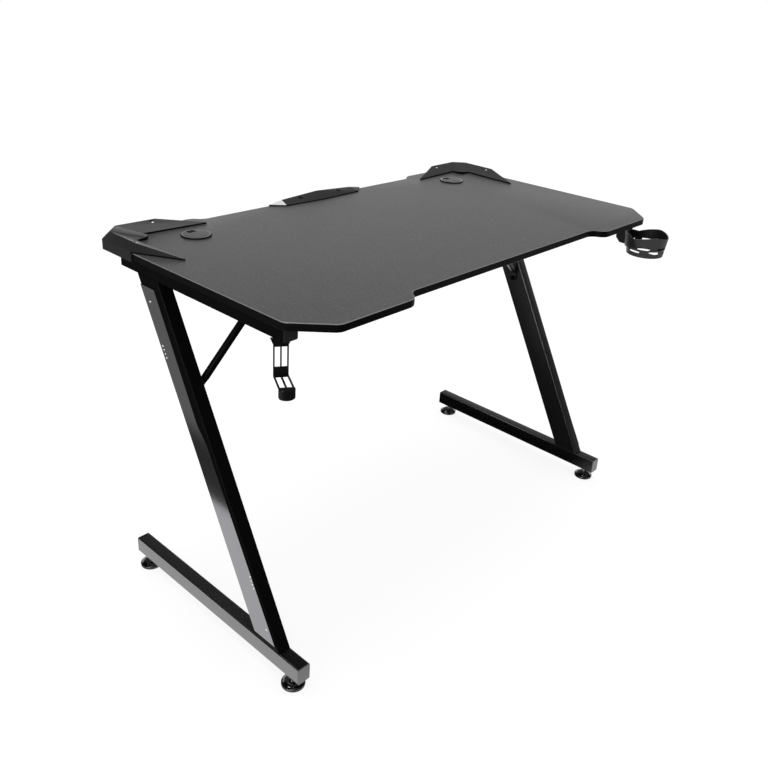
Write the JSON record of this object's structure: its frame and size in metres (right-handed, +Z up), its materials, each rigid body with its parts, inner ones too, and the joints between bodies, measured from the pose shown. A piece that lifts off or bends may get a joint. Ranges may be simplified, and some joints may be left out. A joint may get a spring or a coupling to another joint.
{
  "type": "gaming desk",
  "caption": "Z-frame gaming desk with a contoured tabletop, faceted rear corner guards, cable outlets, levelling feet, headset hook and slotted cup holder.",
  "frame": {"origin": "on the floor, in the middle of the whole desk's footprint", "axes": "+X to the right of a person sitting at the desk, +Y to the back, +Z up"},
  "size_m": [1.1474, 0.6498, 0.758],
  "materials": {
    "board_laminate": "dark fine-grained laminate on particle board",
    "frame_paint": "gloss black powder coat on steel tube",
    "trim_plastic": "satin black moulded plastic",
    "grommet_plastic": "satin black moulded plastic",
    "cover_plastic": "gloss black moulded plastic",
    "plug_plastic": "black moulded plastic",
    "foot_plastic": "gloss black moulded plastic",
    "accessory_plastic": "black moulded plastic, half gloss",
    "bolt_steel": "zinc-plated steel",
    "bare_steel": "plain steel"
  },
  "bodies": {
    "desk_frame": {"board_screws": "bolt_steel", "brace_bolts": "bolt_steel", "brace_left": "frame_paint", "brace_right": "frame_paint", "column_bolts_left": "bolt_steel", "column_bolts_right": "bolt_steel", "column_cover_left": "cover_plastic", "column_cover_right": "cover_plastic", "column_foot_plate_left": "bare_steel", "column_foot_plate_right": "bare_steel", "column_head_plate_left": "bare_steel", "column_head_plate_right": "bare_steel", "column_left": "frame_paint", "column_right": "frame_paint", "corner_guard_left": "trim_plastic", "corner_guard_right": "trim_plastic", "crossbar": "frame_paint", "crossbar_bolts": "bolt_steel", "crossbar_flange_left": "frame_paint", "crossbar_flange_right": "frame_paint", "cup_holder_basket": "accessory_plastic", "cup_holder_bracket": "accessory_plastic", "cup_holder_screws": "bolt_steel", "foot_beam_front_plug_left": "plug_plastic", "foot_beam_front_plug_right": "plug_plastic", "foot_beam_left": "frame_paint", "foot_beam_rear_plug_left": "plug_plastic", "foot_beam_rear_plug_right": "plug_plastic", "foot_beam_right": "frame_paint", "grommet_liner_left": "grommet_plastic", "grommet_liner_right": "grommet_plastic", "headset_hook": "accessory_plastic", "headset_hook_screw": "bolt_steel", "rear_spoiler": "trim_plastic", "tabletop_board": "board_laminate", "threaded_insert_front_left": "bare_steel", "threaded_insert_front_right": "bare_steel", "threaded_insert_rear_left": "bare_steel", "threaded_insert_rear_right": "bare_steel", "trim_screws": "bolt_steel", "upper_beam_front_plug_left": "plug_plastic", "upper_beam_front_plug_right": "plug_plastic", "upper_beam_left": "frame_paint", "upper_beam_rear_plug_left": "plug_plastic", "upper_beam_rear_plug_right": "plug_plastic", "upper_beam_right": "frame_paint"},
    "levelling_foot_front_left": {"levelling_pad_front_left": "foot_plastic", "levelling_stud_front_left": "bolt_steel"},
    "levelling_foot_front_right": {"levelling_pad_front_right": "foot_plastic", "levelling_stud_front_right": "bolt_steel"},
    "levelling_foot_rear_left": {"levelling_pad_rear_left": "foot_plastic", "levelling_stud_rear_left": "bolt_steel"},
    "levelling_foot_rear_right": {"levelling_pad_rear_right": "foot_plastic", "levelling_stud_rear_right": "bolt_steel"},
    "outlet_cap_left": {"grommet_cap_left": "grommet_plastic"},
    "outlet_cap_right": {"grommet_cap_right": "grommet_plastic"}
  },
  "joints": [
    {"name": "levelling_front_left", "type": "slide", "parent": "desk_frame", "child": "levelling_foot_front_left", "axis": [0, 0, 1], "range_m": [-0.012, 0.01]},
    {"name": "levelling_front_right", "type": "slide", "parent": "desk_frame", "child": "levelling_foot_front_right", "axis": [0, 0, 1], "range_m": [-0.012, 0.01]},
    {"name": "levelling_rear_left", "type": "slide", "parent": "desk_frame", "child": "levelling_foot_rear_left", "axis": [0, 0, 1], "range_m": [-0.012, 0.01]},
    {"name": "levelling_rear_right", "type": "slide", "parent": "desk_frame", "child": "levelling_foot_rear_right", "axis": [0, 0, 1], "range_m": [-0.012, 0.01]},
    {"name": "outlet_cap_turn_left", "type": "hinge", "parent": "desk_frame", "child": "outlet_cap_left", "pos_m": [-0.39417, 0.21937, 0.74], "axis": [0, 0, 1], "continuous": true},
    {"name": "outlet_cap_turn_right", "type": "hinge", "parent": "desk_frame", "child": "outlet_cap_right", "pos_m": [0.39783, 0.21937, 0.74], "axis": [0, 0, 1], "continuous": true}
  ]
}
